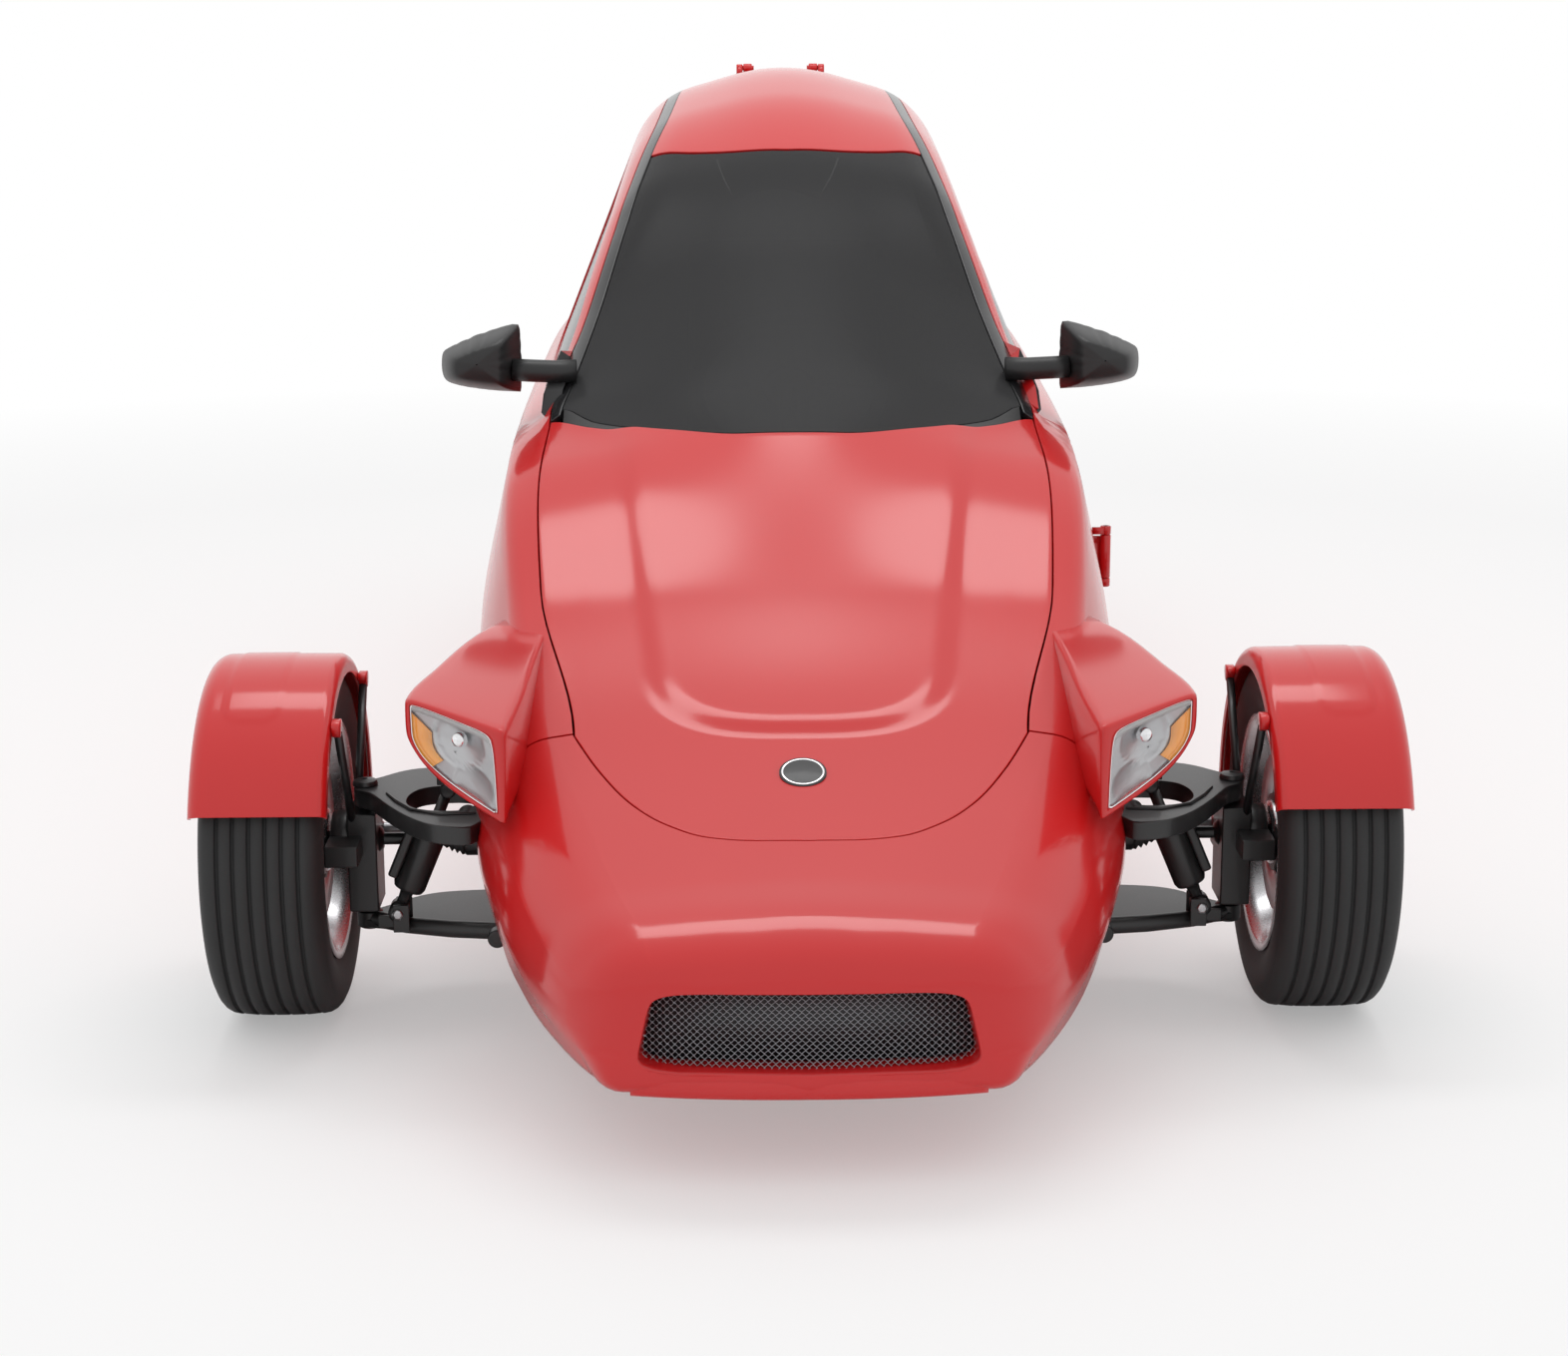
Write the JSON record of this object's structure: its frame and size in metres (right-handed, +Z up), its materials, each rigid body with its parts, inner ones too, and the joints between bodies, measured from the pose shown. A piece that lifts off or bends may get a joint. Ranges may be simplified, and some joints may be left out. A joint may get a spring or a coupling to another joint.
{
  "type": "three-wheeled car",
  "caption": "Enclosed three-wheeled car with outrigged front wheels under cycle fenders, a teardrop body with seats in line and a wheel in the tail.",
  "frame": {"origin": "on the floor, at the middle of the overall length and width", "axes": "+Z up; -Y is the way the car drives; +X is the car's own left side"},
  "size_m": [1.744, 4.08, 1.344],
  "materials": {
    "red_paint": "high-gloss lacquer",
    "black_plastic": "satin moulded plastic",
    "tinted_glass": "grey tint",
    "clear_lens": "clear",
    "red_lens": "clear red",
    "tyre_rubber": "matt",
    "rim_alloy": "bright machined",
    "black_steel": "satin black",
    "bare_steel": "bare",
    "cast_block": "as cast",
    "seat_fabric": "woven",
    "grey_mesh": "expanded sheet"
  },
  "bodies": {
    "car": {"body_tub": "red_paint", "nose_panel": "red_paint", "front_lip": "red_paint", "grille_mesh": "grey_mesh", "cowl_trim": "black_plastic", "windscreen": "tinted_glass", "roof_panel": "red_paint", "roof_strips": "black_plastic", "side_glasses": "tinted_glass", "hinges": "black_steel", "lamp_pods": "red_paint", "headlamps": "clear_lens", "tail_lamps": "red_lens", "mirrors": "black_plastic", "suspension_brackets": "black_steel", "upper_arms": "black_steel", "lower_arms": "black_steel", "shocks": "black_steel", "half_shafts": "bare_steel", "swing_arm": "black_steel", "rear_wheel_well": "black_plastic", "rack_housing": "rim_alloy", "engine_block": "cast_block", "dashboard": "black_plastic", "seat_bases": "black_plastic", "seat_cushions": "seat_fabric", "seat_backs": "seat_fabric"},
    "hood_lid": {"hood": "red_paint", "badge": "rim_alloy"},
    "door_leaf": {"door": "red_paint", "door_glass": "tinted_glass", "door_hinge_leaf": "black_steel"},
    "hatch_lid": {"rear_hatch": "red_paint", "rear_hatch_glass": "tinted_glass", "hatch_hinge_leaf": "black_steel"},
    "upright_left": {"knuckle_left": "black_steel", "fender_left": "red_paint"},
    "upright_right": {"knuckle_right": "black_steel", "fender_right": "red_paint"},
    "wheel_left": {"rim_front_left": "rim_alloy", "tyre_front_left": "tyre_rubber"},
    "wheel_right": {"rim_front_right": "rim_alloy", "tyre_front_right": "tyre_rubber"},
    "wheel_rear": {"rim_rear": "rim_alloy", "tyre_rear": "tyre_rubber"},
    "rack": {"rack_bar": "bare_steel"},
    "hand_wheel": {"steering_column": "bare_steel", "steering_wheel": "black_plastic"}
  },
  "joints": [
    {"name": "steer_left", "type": "hinge", "parent": "car", "child": "upright_left", "pos_m": [0.65, -1.328, 0.262], "axis": [0, 0, 1], "range_deg": [-28, 28]},
    {"name": "steer_right", "type": "hinge", "parent": "car", "child": "upright_right", "pos_m": [-0.65, -1.328, 0.262], "axis": [0, 0, 1], "range_deg": [-28, 28]},
    {"name": "rack_slide", "type": "slide", "parent": "car", "child": "rack", "axis": [1, 0, 0], "range_m": [-0.056, 0.056]},
    {"name": "hand_wheel_turn", "type": "hinge", "parent": "car", "child": "hand_wheel", "pos_m": [0, -0.343, 0.8], "axis": [0, 0.8406, 0.5417], "range_deg": [-337, 337]},
    {"name": "wheel_left_spin", "type": "hinge", "parent": "upright_left", "child": "wheel_left", "pos_m": [0.773, -1.328, 0.262], "axis": [1, 0, 0], "continuous": true},
    {"name": "wheel_right_spin", "type": "hinge", "parent": "upright_right", "child": "wheel_right", "pos_m": [-0.773, -1.328, 0.262], "axis": [1, 0, 0], "continuous": true},
    {"name": "wheel_rear_spin", "type": "hinge", "parent": "car", "child": "wheel_rear", "pos_m": [0, 1.466, 0.262], "axis": [1, 0, 0], "continuous": true},
    {"name": "hood_hinge", "type": "hinge", "parent": "car", "child": "hood_lid", "pos_m": [0, -0.716, 0.838], "axis": [-1, 0, 0], "range_deg": [0, 50]},
    {"name": "door_hinge", "type": "hinge", "parent": "car", "child": "door_leaf", "pos_m": [0.532, -0.682, 0.56], "axis": [0, 0, -1], "range_deg": [0, 65]},
    {"name": "hatch_hinge", "type": "hinge", "parent": "car", "child": "hatch_lid", "pos_m": [0, 0.752, 1.332], "axis": [1, 0, 0], "range_deg": [0, 60]}
  ],
  "couplings": [
    {"joint": "steer_right", "follows": "steer_left", "ratio": 1},
    {"joint": "rack_slide", "follows": "steer_left", "m_per_rad": -0.11336},
    {"joint": "hand_wheel_turn", "follows": "steer_left", "ratio": 12}
  ]
}
